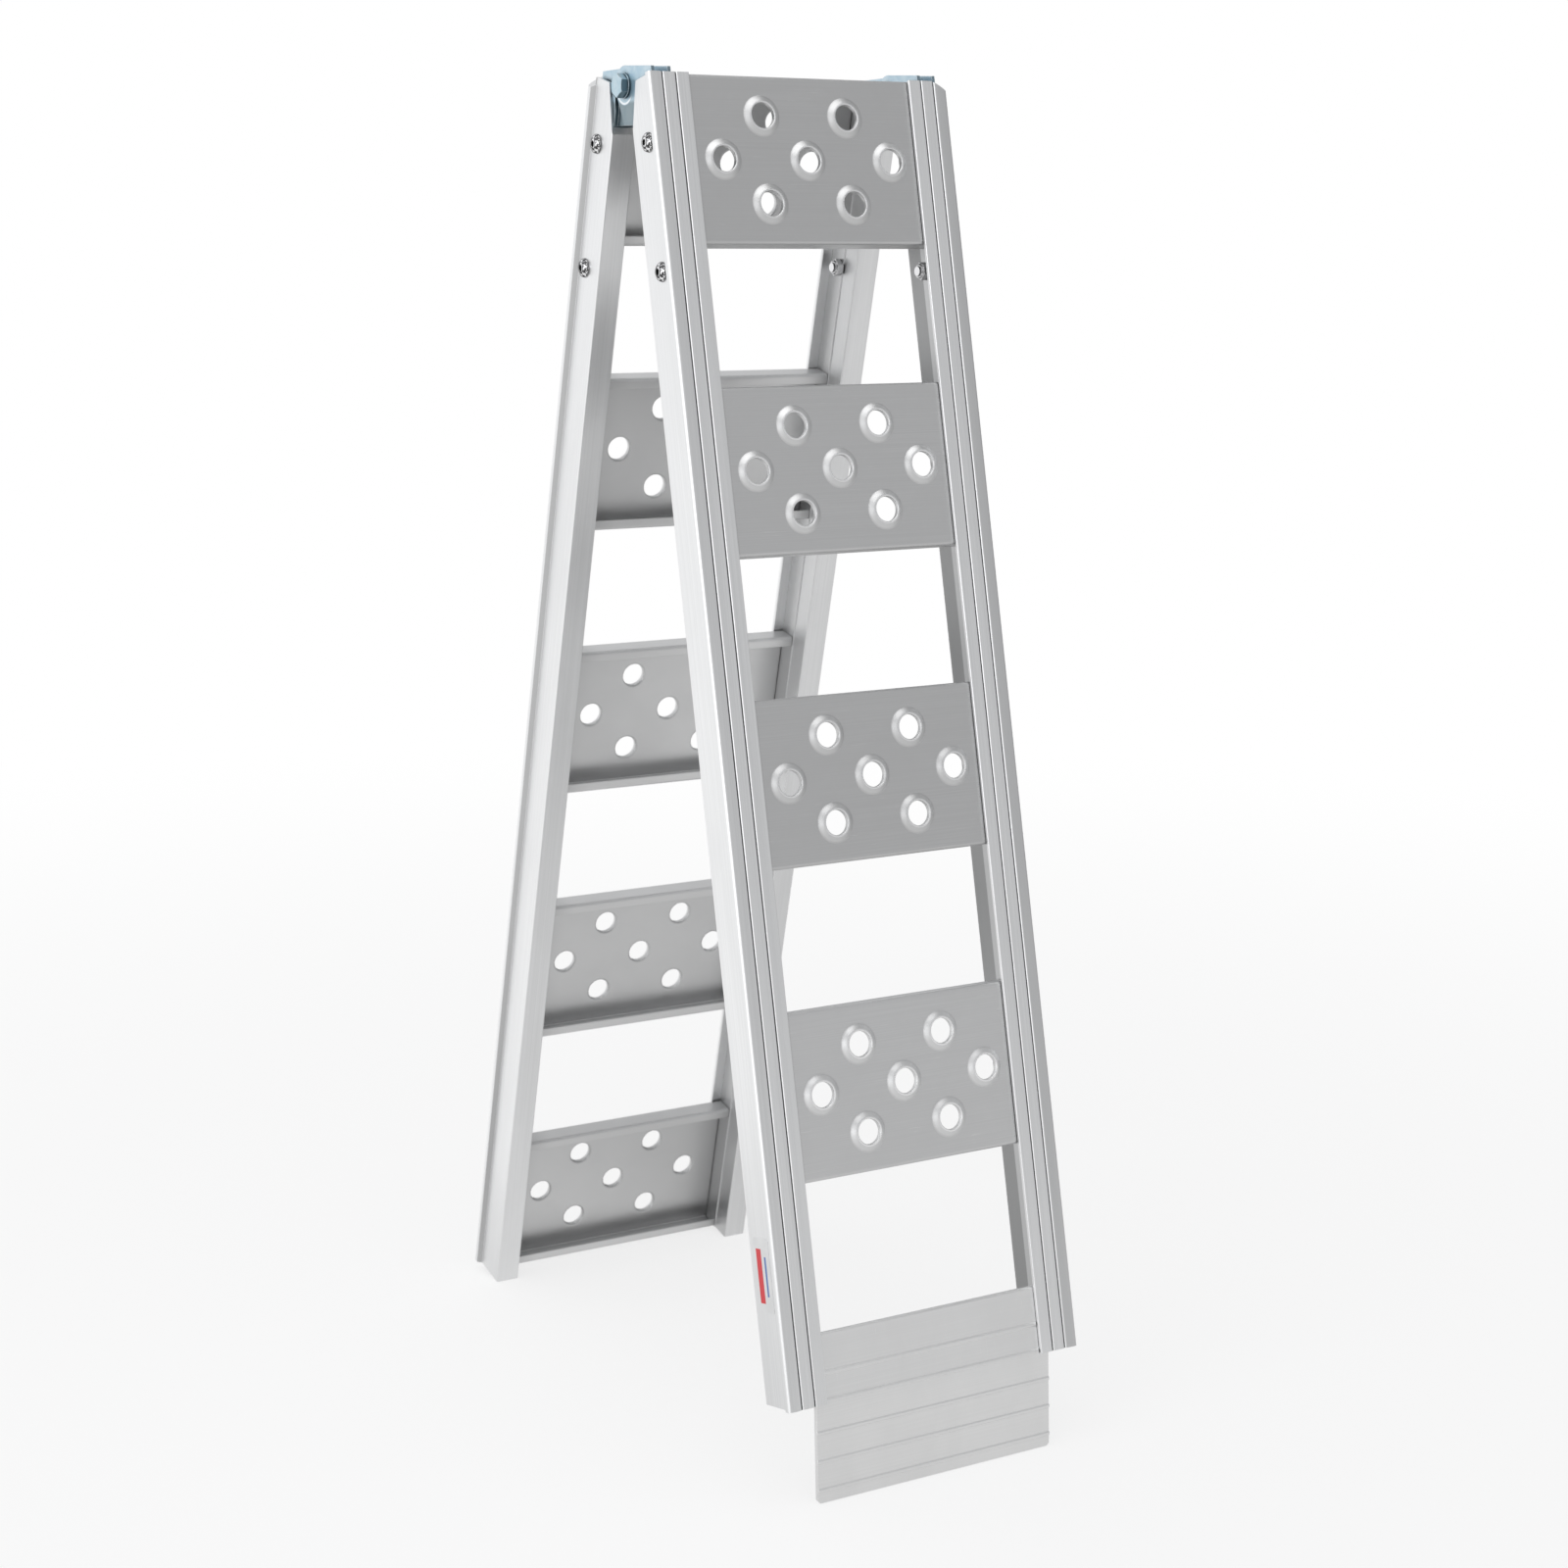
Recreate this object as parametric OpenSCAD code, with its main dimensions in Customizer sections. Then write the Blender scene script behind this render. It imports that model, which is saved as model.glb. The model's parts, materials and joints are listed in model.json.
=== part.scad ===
// Folding loading ramp, standing open as an A on its two ends.
// Each section is a ladder of two extruded aluminium rails with pressed treads between them.
// Both sections hang on one hinge line at the top: two steel clevis and tongue pairs.
// Standing frame: X across the ramp, Z up from the ground at Z = 0, the front section's
// foot towards -Y, the rear section's towards +Y, left at -X.
// Local section frame: X across the ramp, Y out of the tread side, Z up along the rail,
// Z = 0 at the rail's hinge end, Y = 0 at the rail's underside.

/* [Pose] */
// Lean of each section from the vertical, degrees
lean = 13; // [5:0.5:20]

/* [Section] */
// Clear width between the rail flanges, mm
opening = 207; // [180:1:240]
// Rail length of the section with the loading lip, mm
rail_front_len = 1061; // [900:1:1200]
// Rail length of the ground section, mm
rail_rear_len = 1136; // [950:1:1250]
// Distance from the hinge line to each rail's underside, mm
hinge_drop = 9; // [8:0.5:14]
// Height of the hinge line above the rail ends, mm
hinge_rise = 2; // [1:0.5:4]

/* [Rail] */
// Rail depth from underside to tread side, mm
rail_depth = 44; // [38:1:50]
// Width of the closed tube of the rail, mm
tube_w = 22; // [18:1:28]
// Inner ledge over the tread ends, mm
ledge_w = 10.5; // [8:0.5:14]
// Outer bead beyond the tube, mm
bead_w = 4; // [2:0.5:6]
// Tube wall, mm
wall = 2; // [1.6:0.1:3]
// Tread-side flange thickness, mm
flange_t = 3.6; // [3:0.1:5]
// Height of the rounded side bead above the flange, mm
crown_h = 0.8; // [0.4:0.1:1.5]
// Radius of the side bead's crown, mm
crown_r = 18; // [14:1:24]

/* [Tread] */
// Tread spacing, mm
tread_pitch = 250; // [220:1:280]
// Tread length along the ramp, mm
tread_len = 136; // [110:1:150]
// First tread's edge from the hinge end, mm
tread_first = 0; // [0:1:20]
// Sheet thickness, mm
sheet_t = 2; // [1.5:0.1:3]
// Depth of the folded edges, mm
tread_depth = 20; // [18:1:32]
// Width of the return lips, mm
return_w = 7; // [4:0.5:10]
// Hole diameter, mm
hole_d = 20.5; // [16:0.5:24]
// Collar diameter at its foot, mm
collar_d = 34; // [26:0.5:36]
// Collar height, mm
collar_h = 3.2; // [2:0.1:3.5]
// Hole spacing across the ramp, mm
hole_dx = 78.5; // [70:0.5:84]
// Row spacing along the ramp, mm
hole_dz = 35.5; // [28:0.5:40]

/* [Loading lip] */
// Lip plate thickness, mm
lip_t = 4; // [3:0.5:6]
// Overlap of the lip with the rails, mm
lip_overlap = 56; // [40:1:80]
// Bend of the lip towards the underside, degrees
lip_bend = 9.5; // [0:0.5:20]
// Rib spacing, mm
rib_pitch = 24; // [18:1:32]

/* [Hinge] */
// Knuckle radius, mm
knuckle_r = 16; // [13:0.5:18]
// Pivot bolt diameter, mm
pivot_d = 10; // [8:0.5:12]
// Radial running clearance of the pivot, mm
run_gap = 0.05; // [0.02:0.01:0.1]
// Leaf plate thickness, mm
leaf_t = 3; // [2.5:0.5:4]
// Leaf length inside the rail, mm
leaf_len = 185; // [150:5:220]

/* [Fasteners] */
// Rail bolt diameter, mm
bolt_d = 8; // [6:1:10]
// First rail bolt from the rail end, mm
bolt_z1 = 52; // [40:1:70]
// Second rail bolt from the rail end, mm
bolt_z2 = 155; // [120:1:170]
// Height of the rail bolts above the rail's underside, mm
bolt_y = 25; // [18:1:30]

/* [Decal] */
// Decal width across the rail, mm
decal_w = 24; // [16:1:26]
// Decal length along the rail, mm
decal_len = 60; // [40:1:80]
// Film thickness, mm
decal_t = 0.3; // [0.2:0.1:0.5]
// Lower edge of the decal from the hinge end, mm
decal_z = 985; // [900:1:1030]

/* [Hidden] */
$fn = 64;
join = 0.01;                                 // overlap of joined pieces

// Rail stations across the ramp
flange_in = opening / 2;                     // inner edge of the flange
tube_in = flange_in + ledge_w;               // inner face of the tube
tube_out = tube_in + tube_w;                 // outer face of the tube
bead_out = tube_out + bead_w;                // outer edge of the bead
flange_y = rail_depth - flange_t;            // underside of the flange
tread_half = tube_in - 1.2;                  // half length of a tread

// Hinge line in the section frame
hinge_x = tube_in + tube_w / 2;              // middle of each hinge
hinge_y = -hinge_drop;
hinge_z = hinge_rise;
hinge_height = (rail_rear_len + hinge_z) * cos(lean) + hinge_y * sin(lean);   // above ground

// Loading lip, long enough for its back edge to meet the ground
lip_y = flange_y - lip_t;                    // back of the lip plate
bend_back_y = flange_y - lip_t * cos(lip_bend);
bend_back_z = rail_front_len - lip_t * sin(lip_bend);
lip_lean = lean - lip_bend;
lip_len = (hinge_height + (bend_back_y - hinge_y) * sin(lean)
    - (bend_back_z + hinge_z) * cos(lean)) / cos(lip_lean);
rib_end = 10.5;                              // last rib from the lip's free edge
rib_h = 1;
rib_foot = 1.9;                              // half width of a rib at its foot
rib_crest = 0.9;                             // half width of a rib at its crest
rib_low = (lip_len - rib_end) % rib_pitch;   // first rib below the bend

// Reach of each section from the hinge line; the origin lies under the middle of the box
lip_reach = max(lip_len * sin(lip_lean),
    (lip_len - rib_end + rib_crest) * sin(lip_lean) + rib_h * cos(lip_lean));
reach_front = (flange_y - hinge_y) * cos(lean) + (rail_front_len + hinge_z) * sin(lean)
    + lip_reach;
reach_rear = (rail_depth + crown_h - hinge_y) * cos(lean)
    + (rail_rear_len + hinge_z) * sin(lean);
shift_y = (reach_front - reach_rear) / 2;

rail_colour = "#d9dadb";
tread_colour = "#b9bbbd";
leaf_colour = "#a9bccb";
bolt_colour = "#8c9094";
pivot_colour = "#9fb4c4";

// ---- placing ----
// lean a section about the hinge line
module leaned() { rotate([lean, 0, 0]) translate([0, -hinge_y, -hinge_z]) children(); }
module on_rear() { translate([0, shift_y, hinge_height]) leaned() children(); }
module on_front() {
    translate([0, shift_y, hinge_height]) rotate([0, 0, 180]) leaned() children();
}

// pieces are drawn on the local +X side; side = -1 mirrors them
module on_side(side) { if (side > 0) children(); else mirror([1, 0, 0]) children(); }
module both_sides() { for (side = [-1, 1]) on_side(side) children(); }

// extrude a Y-Z outline along X, from x to x + w
module along_x(x, w) { translate([x, 0, 0]) rotate([90, 0, 90]) linear_extrude(w) children(); }

// ---- rail ----
tube_r = 1.2;                                // underside corners of the tube
edge_r = 1;                                  // inner edge of the flange
step_w = 0.8;                                // upper part of the inner wall stands proud
step_y = 20;
groove_places = [11.9, 24];                  // from the flange's inner edge
notch_y = 14;                                // hinge end is cut back on its underside
notch_z = 39;
hole_play = 0.4;                             // on the diameter of bolt and washer holes

// outer bead: a shallow crown that runs into a rounded outer corner, then the step to the tube
crown_x = 5.5;                               // crown's middle from the outer edge
corner_r = 3;
bead_lap = 0.5;                              // how far the bead runs into the tube
crown_root = 1.5;                            // how far the bead runs below the flange face
crown_mid = [bead_out - crown_x, rail_depth + crown_h - crown_r];
// angles from +Y of the crown's ends: where it meets the corner, and just under the flange face
crown_a = asin((crown_x - corner_r) / (crown_r - corner_r));
crown_b = acos((crown_r - crown_h) / crown_r) + 1.5;
corner_mid = [bead_out - corner_r, crown_mid[1] + (crown_r - corner_r) * cos(crown_a)];

// arc points from angle a0 to a1, measured from the second axis
function arc(mid, r, a0, a1, steps, first = 0) =
    [for (i = [first : steps]) let (a = a0 + (a1 - a0) * i / steps) mid + r * [sin(a), cos(a)]];

module bead_outline() {
    polygon(concat(
        [[tube_out - bead_lap, 35.5], [tube_out, 35.5], [bead_out - 0.6, 37.6], [bead_out, 38.4]],
        arc(corner_mid, corner_r, 90, crown_a, 6),
        arc(crown_mid, crown_r, crown_a, -crown_b, 8, first = 1),
        [[crown_mid[0] - crown_r * sin(crown_b), rail_depth - crown_root],
         [tube_out - bead_lap, rail_depth - crown_root]]));
}

// narrow groove with a flared mouth, cut into the flange face
module groove(x) {
    translate([x, rail_depth])
        polygon([[-1.1, 0.5], [-1.1, 0], [-0.45, -0.6], [-0.4, -1.4],
                 [0.4, -1.4], [0.45, -0.6], [1.1, 0], [1.1, 0.5]]);
}

module rail_outline() {
    difference() {
        union() {
            // tube with rounded underside corners
            translate([tube_in, tube_r]) square([tube_w, flange_y - tube_r + join]);
            translate([tube_in + tube_r, 0]) square([tube_w - 2 * tube_r, wall]);
            for (x = [tube_in + tube_r, tube_out - tube_r])
                translate([x, tube_r]) circle(r = tube_r);
            translate([tube_in - step_w, step_y]) square([1.5, flange_y - step_y + join]);
            // flange with a rounded inner edge
            translate([flange_in + edge_r, flange_y])
                square([bead_out - corner_r - flange_in - edge_r, flange_t]);
            translate([flange_in, flange_y + edge_r]) square([2, flange_t - 2 * edge_r]);
            for (y = [flange_y + edge_r, rail_depth - edge_r])
                translate([flange_in + edge_r, y]) circle(r = edge_r);
            bead_outline();
        }
        // hollow
        translate([tube_in + wall, wall]) square([tube_w - 2 * wall, flange_y - wall]);
        for (x = groove_places) groove(flange_in + x);
    }
}

// cutters for the two rail bolts, from x to x + length
module rail_bolt_holes(x, length) {
    for (z = [bolt_z1, bolt_z2])
        translate([x, bolt_y, -z]) rotate([0, 90, 0]) cylinder(d = bolt_d + hole_play, h = length);
}

module rail(len, side) {
    on_side(side) difference() {
        translate([0, 0, -len]) linear_extrude(len) rail_outline();
        // hinge end cut back on the underside
        along_x(tube_in - 5, tube_w + 15)
            polygon([[-5, 5], [notch_y, 5], [notch_y, 0], [0, -notch_z], [-5, -notch_z]]);
        rail_bolt_holes(tube_in - 3, tube_w + 8);
        // the local -X rail has a clipped outer flange corner; points are [x, below hinge end]
        if (side < 0) translate([0, 36, 0]) rotate([-90, 0, 0]) linear_extrude(12)
            polygon([[bead_out - 13.5, -1], [bead_out + 2, -1], [bead_out + 2, 9.8],
                     [bead_out, 8.5], [bead_out - 13.5, -0.2]]);
    }
}

// ---- tread: folded sheet with collared holes, its face under the rail flanges ----
fold_r = 3;                                  // outer radius of the folds

module rounded_box(w, h, r) {
    union() {
        translate([0, r]) square([w, h - 2 * r]);
        translate([r, 0]) square([w - 2 * r, h]);
        for (x = [r, w - r], y = [r, h - r]) translate([x, y]) circle(r = r);
    }
}

module tread_outline() {
    edge = sheet_t + return_w;
    difference() {
        rounded_box(tread_depth, tread_len, fold_r);
        translate([sheet_t, sheet_t])
            rounded_box(tread_depth - 2 * sheet_t, tread_len - 2 * sheet_t, fold_r - sheet_t);
        // opening between the return lips
        translate([-1, edge]) square([sheet_t + 3, tread_len - 2 * edge]);
    }
}

module collar() {
    bore_r = hole_d / 2;
    foot_r = collar_d / 2;
    root = -sheet_t + 0.2;
    // [radius, height above the tread face]
    rotate([-90, 0, 0]) rotate_extrude()
        polygon([[bore_r, root], [bore_r, collar_h - 0.5], [bore_r + 0.4, collar_h],
                 [bore_r + 1.3, collar_h], [foot_r - 0.9, collar_h * 0.08], [foot_r, 0],
                 [foot_r, -0.3], [bore_r + 2, -0.3], [bore_r + 0.8, root]]);
}

// two outer rows of two holes, a middle row of three
module hole_places() {
    for (row = [-1, 1], col = [-0.5, 0.5]) translate([col * hole_dx, 0, row * hole_dz]) children();
    for (col = [-1, 0, 1]) translate([col * hole_dx, 0, 0]) children();
}

// treads are numbered from 1 at the hinge end
module tread(i) {
    translate([0, 0, -(tread_first + tread_len / 2 + (i - 1) * tread_pitch)]) difference() {
        union() {
            along_x(-tread_half, 2 * tread_half)
                translate([flange_y - tread_depth, -tread_len / 2]) tread_outline();
            translate([0, flange_y, 0]) hole_places() collar();
        }
        translate([0, flange_y - 10, 0]) hole_places()
            rotate([-90, 0, 0]) cylinder(d = hole_d, h = 20);
    }
}

// ---- loading lip: one ribbed plate, bent at the rail ends; here Z = 0 at the bend ----
module rib(z) {
    translate([flange_y, z])
        polygon([[-0.5, rib_foot], [0, rib_foot], [rib_h, rib_crest],
                 [rib_h, -rib_crest], [0, -rib_foot], [-0.5, -rib_foot]]);
}

module bent(y, angle) { translate([y, 0]) rotate(-angle) translate([-y, 0]) children(); }

module lip_plate_outline() {
    union() {
        translate([lip_y, 0]) square([lip_t, lip_overlap - 2]);
        // upper end, chamfered on the tread side
        polygon([[lip_y, lip_overlap - 2.1], [flange_y, lip_overlap - 2.1],
                 [flange_y, lip_overlap - 1.8], [flange_y - 1.6, lip_overlap],
                 [lip_y, lip_overlap]]);
        bent(flange_y, lip_bend) {
            translate([lip_y, -lip_len]) square([lip_t, lip_len + join]);
            for (up = [rib_end : rib_pitch : lip_len - rib_low + 0.1]) rib(-lip_len + up);
        }
    }
}

// ribs above the bend, the lowest kept clear of it
module lip_upper_ribs() {
    for (z = [rib_pitch - rib_low : rib_pitch : lip_overlap - 8]) rib(max(z, 2.2));
}

module lip() {
    difference() {
        union() {
            along_x(-tread_half, 2 * tread_half) lip_plate_outline();
            along_x(-flange_in + 0.6, 2 * flange_in - 1.2) lip_upper_ribs();
        }
        // clipped corners of the free edge
        for (side = [-1, 1])
            translate([side * tread_half, flange_y, 0]) rotate([-lip_bend, 0, 0])
                translate([0, -lip_t / 2, -lip_len])
                    rotate([0, 45, 0]) cube([3.4, 12, 3.4], center = true);
    }
}

// ---- hinge leaves: outlines in Y-Z ----
leaf_w = tube_w - 2 * wall - 0.4;            // width of a leaf across the tube
leaf_gap = leaf_w - 2 * leaf_t;              // gap between a leaf's plates
leaf_x_in = hinge_x - leaf_w / 2;            // inner and outer faces of a leaf
leaf_x_out = hinge_x + leaf_w / 2;
leaf_y0 = wall + 0.4;
leaf_y1 = flange_y - 2.8;
tongue_w = leaf_gap - 0.6;                   // tongue thickness
tongue_drop = 1.5;                           // tongue's edges lie this far inside the ears'
tongue_inset = 4;                            // tongue's root from the leaf's edges
tongue_root = 60;                            // end of the tongue's root below the rail end
block_end = 70;                              // end of the block below the rail end
stand_lean = 13;                             // lean at which the ears' lower edges are level
ear_corner = [leaf_y1, 6];                   // leaf corner above the rail end
ear_low = [-16.5, -28.2];                    // outer end of the ear's lower edge
line_r = knuckle_r - 0.12;                   // straight edges end just inside the knuckle
stop_gap = 0.05;

// height of the ear's lower edge at y
function low_z(y) = ear_low[1] - (y - ear_low[0]) * tan(stand_lean);

// where a line from point p touches a circle of radius r about the hinge; turn picks the side
function tangent_point(p, turn, r = line_r) =
    let (dy = p[0] - hinge_y,
         dz = p[1] - hinge_z,
         a = atan2(dz, dy) + turn * acos(r / sqrt(dy * dy + dz * dz)))
    [hinge_y + r * cos(a), hinge_z + r * sin(a)];

ear_top_end = tangent_point(ear_corner, 1);
ear_low_end = tangent_point(ear_low, -1);

// height at y of the line where the other leaf's edge comes to rest when the ramp lies flat
function rest_z(y) = 2 * hinge_z - ear_corner[1] - stop_gap
    + (ear_corner[1] - ear_top_end[1]) * (ear_corner[0] - y) / (ear_corner[0] - ear_top_end[0]);

module ear_outline() {
    union() {
        translate([hinge_y, hinge_z]) circle(r = knuckle_r);
        polygon([[hinge_y, hinge_z], ear_top_end, ear_corner, [leaf_y1, -leaf_len],
                 [leaf_y0, -leaf_len], [leaf_y0, low_z(leaf_y0)], ear_low, ear_low_end]);
    }
}

// web joining the clevis plates, below the other leaf's resting edge
module web_outline() {
    y = leaf_y1 - leaf_t;
    polygon([[y, -leaf_len], [leaf_y1, -leaf_len], [leaf_y1, rest_z(leaf_y1)], [y, rest_z(y)]]);
}

// block behind the tongue, its corner cut back to clear the other leaf's ears when folded
module block_outline() {
    cut_y = leaf_y0 + 3.4;
    polygon([[leaf_y0, -block_end], [leaf_y1, -block_end], [leaf_y1, rest_z(leaf_y1)],
             [cut_y, rest_z(cut_y)], [leaf_y0, -20.5]]);
}

module tongue_outline() {
    r = line_r - tongue_drop;
    corner = ear_corner - [0, tongue_drop];
    y0 = leaf_y0 + tongue_inset;
    y1 = leaf_y1 - tongue_inset;
    union() {
        translate([hinge_y, hinge_z]) circle(r = knuckle_r - tongue_drop);
        polygon([[hinge_y, hinge_z], tangent_point(corner, 1, r), corner, [leaf_y1, -8],
                 [y1, -14], [y1, -tongue_root], [y0, -tongue_root], [y0, low_z(y0)],
                 ear_low, tangent_point(ear_low, -1, r)]);
    }
}

// X-Y section of the tongue leaf's channel, about the middle of the hinge
module channel_outline() {
    outer = leaf_w / 2;
    inner = leaf_gap / 2;
    web_y = leaf_y1 - leaf_t;
    polygon([[-outer, leaf_y0], [-inner, leaf_y0], [-inner, web_y], [inner, web_y],
             [inner, leaf_y0], [outer, leaf_y0], [outer, leaf_y1], [-outer, leaf_y1]]);
}

module leaf_holes() {
    translate([hinge_x - leaf_w, hinge_y, hinge_z]) rotate([0, 90, 0])
        cylinder(d = pivot_d + 2 * run_gap, h = 2 * leaf_w);
    rail_bolt_holes(hinge_x - leaf_w, 2 * leaf_w);
}

// two ears that straddle the other section's tongue
module leaf_clevis(side) {
    on_side(side) difference() {
        union() {
            for (x = [leaf_x_in, leaf_x_out - leaf_t]) along_x(x, leaf_t) ear_outline();
            along_x(hinge_x - leaf_gap / 2 - 0.5, leaf_gap + 1) web_outline();
        }
        leaf_holes();
    }
}

// one thick tongue, solid with its block and channel
module leaf_tongue(side) {
    on_side(side) difference() {
        union() {
            translate([hinge_x, 0, -leaf_len])
                linear_extrude(leaf_len - block_end + 1) channel_outline();
            along_x(leaf_x_in, leaf_w) block_outline();
            along_x(hinge_x - tongue_w / 2, tongue_w) tongue_outline();
        }
        leaf_holes();
    }
}

// ---- decal outline, corners clipped ----
module decal_outline() {
    clip = 2;
    w = decal_w;
    h = decal_len;
    translate([7, -decal_z])
        polygon([[clip, 0], [w - clip, 0], [w, clip], [w, h - clip],
                 [w - clip, h], [clip, h], [0, h - clip], [0, clip]]);
}

// ---- fasteners: profiles are [radius, height] ----
washer_t = 1.6;
pivot_flats = 17;                            // widths across flats
rail_flats = 13;
socket_flats = 5;
function hex_d(flats) = flats / cos(30);

module rail_bolt(z) {
    shank = tube_w + 9.5;
    translate([tube_out, bolt_y, -z]) rotate([0, 90, 0]) difference() {
        union() {
            translate([0, 0, -shank]) cylinder(d = bolt_d, h = shank + join);
            // domed head
            rotate_extrude() polygon([[0, 0], [8, 0], [8, 0.9], [7.4, 2.1], [6.3, 3.2],
                                      [4.9, 3.9], [3.2, 4.3], [0, 4.3]]);
        }
        translate([0, 0, 1.9]) cylinder(d = hex_d(socket_flats), h = 5, $fn = 6);
    }
}

module rail_nut(z) {
    translate([tube_in - step_w, bolt_y, -z]) rotate([0, -90, 0]) difference() {
        union() {
            cylinder(d = hex_d(rail_flats), h = 5.6, $fn = 6);
            translate([0, 0, 5.5]) cylinder(d1 = 12.4, d2 = 10.6, h = 1.9);
        }
        translate([0, 0, -1]) cylinder(d = bolt_d, h = 12);
    }
}

module rail_bolts() { both_sides() for (z = [bolt_z1, bolt_z2]) rail_bolt(z); }
module rail_nuts() { both_sides() for (z = [bolt_z1, bolt_z2]) rail_nut(z); }

// hexagon with its far face chamfered down to radius face_r
module pivot_hex(h, face_r, chamfer, turn = 0) {
    intersection() {
        rotate([0, 0, turn]) cylinder(d = hex_d(pivot_flats), h = h, $fn = 6);
        rotate_extrude()
            polygon([[0, 0], [10.4, 0], [10.4, h - chamfer], [face_r, h], [0, h]]);
    }
}

module pivot_bolt() {
    shank = leaf_w + 12.6;
    translate([leaf_x_out + washer_t, hinge_y, hinge_z]) rotate([0, 90, 0]) {
        translate([0, 0, -shank]) cylinder(d = pivot_d, h = shank + join);
        pivot_hex(h = 6.2, face_r = 8.4, chamfer = 1, turn = -stand_lean);
    }
}

module pivot_washer(x) {
    translate([x, hinge_y, hinge_z]) rotate([0, 90, 0]) difference() {
        cylinder(d = 20, h = washer_t);
        translate([0, 0, -1]) cylinder(d = pivot_d + hole_play, h = 4);
    }
}

module pivot_nut() {
    translate([leaf_x_in - washer_t, hinge_y, hinge_z]) rotate([0, -90, 0]) difference() {
        union() {
            pivot_hex(h = 7, face_r = 8.6, chamfer = 0.8);
            translate([0, 0, 6.9]) cylinder(d1 = 15.6, d2 = 13.4, h = 2.4);
        }
        translate([0, 0, -1]) cylinder(d = pivot_d, h = 14);
    }
}

// ---- nodes: the front section is turned half round, so its left rail is the local +X one ----
module rail_front_left() { color(rail_colour) on_front() rail(rail_front_len, 1); }
module rail_front_right() { color(rail_colour) on_front() rail(rail_front_len, -1); }
module decal() { color("#c9cbcd") on_front() along_x(tube_out, decal_t) decal_outline(); }
module tread_front_1() { color(tread_colour) on_front() tread(1); }
module tread_front_2() { color(tread_colour) on_front() tread(2); }
module tread_front_3() { color(tread_colour) on_front() tread(3); }
module tread_front_4() { color(tread_colour) on_front() tread(4); }
module loading_lip() { color("#cfd0d1") on_front() translate([0, 0, -rail_front_len]) lip(); }
module leaf_front_left() { color(leaf_colour) on_front() leaf_clevis(1); }
module leaf_front_right() { color(leaf_colour) on_front() leaf_clevis(-1); }
module rail_bolts_front() { color(bolt_colour) on_front() rail_bolts(); }
module rail_nuts_front() { color(bolt_colour) on_front() rail_nuts(); }
module pivot_bolts() { color(pivot_colour) on_front() both_sides() pivot_bolt(); }
module pivot_washers() {
    color(pivot_colour) on_front() both_sides()
        for (x = [leaf_x_out, leaf_x_in - washer_t]) pivot_washer(x);
}
module pivot_nuts() { color(pivot_colour) on_front() both_sides() pivot_nut(); }
module rail_rear_left() { color(rail_colour) on_rear() rail(rail_rear_len, -1); }
module rail_rear_right() { color(rail_colour) on_rear() rail(rail_rear_len, 1); }
module tread_rear_1() { color(tread_colour) on_rear() tread(1); }
module tread_rear_2() { color(tread_colour) on_rear() tread(2); }
module tread_rear_3() { color(tread_colour) on_rear() tread(3); }
module tread_rear_4() { color(tread_colour) on_rear() tread(4); }
module tread_rear_5() { color(tread_colour) on_rear() tread(5); }
module leaf_rear_left() { color(leaf_colour) on_rear() leaf_tongue(-1); }
module leaf_rear_right() { color(leaf_colour) on_rear() leaf_tongue(1); }
module rail_bolts_rear() { color(bolt_colour) on_rear() rail_bolts(); }
module rail_nuts_rear() { color(bolt_colour) on_rear() rail_nuts(); }

rail_front_left();
rail_front_right();
decal();
tread_front_1();
tread_front_2();
tread_front_3();
tread_front_4();
loading_lip();
leaf_front_left();
leaf_front_right();
rail_bolts_front();
rail_nuts_front();
pivot_bolts();
pivot_washers();
pivot_nuts();
rail_rear_left();
rail_rear_right();
tread_rear_1();
tread_rear_2();
tread_rear_3();
tread_rear_4();
tread_rear_5();
leaf_rear_left();
leaf_rear_right();
rail_bolts_rear();
rail_nuts_rear();
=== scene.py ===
# A folding ramp: two sections meet at a hinge pivot and lean down and away from it.
# X runs across the ramp and Z is up. The rear section faces +Y; the front section is
# the same frame given half a turn about the vertical, and faces -Y. Lengths are in metres.
import bpy
import bmesh
import json
import math
from fnmatch import fnmatchcase
from mathutils import Matrix, Vector
from mathutils.geometry import delaunay_2d_cdt


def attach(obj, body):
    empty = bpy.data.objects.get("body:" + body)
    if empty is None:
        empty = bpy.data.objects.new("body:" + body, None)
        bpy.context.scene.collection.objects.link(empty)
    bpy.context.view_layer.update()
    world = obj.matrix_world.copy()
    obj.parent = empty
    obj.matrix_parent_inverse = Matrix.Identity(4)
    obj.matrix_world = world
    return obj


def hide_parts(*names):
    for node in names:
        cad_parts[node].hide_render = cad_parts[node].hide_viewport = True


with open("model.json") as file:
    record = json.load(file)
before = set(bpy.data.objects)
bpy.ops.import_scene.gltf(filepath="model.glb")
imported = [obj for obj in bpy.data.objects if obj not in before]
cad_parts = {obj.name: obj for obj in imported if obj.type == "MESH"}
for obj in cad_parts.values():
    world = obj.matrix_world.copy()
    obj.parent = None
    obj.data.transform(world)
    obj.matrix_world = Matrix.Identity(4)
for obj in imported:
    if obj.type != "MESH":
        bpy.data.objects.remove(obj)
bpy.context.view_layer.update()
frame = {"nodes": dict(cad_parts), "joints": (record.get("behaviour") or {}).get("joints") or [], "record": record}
scene = bpy.context.scene
MM = 0.001

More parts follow.
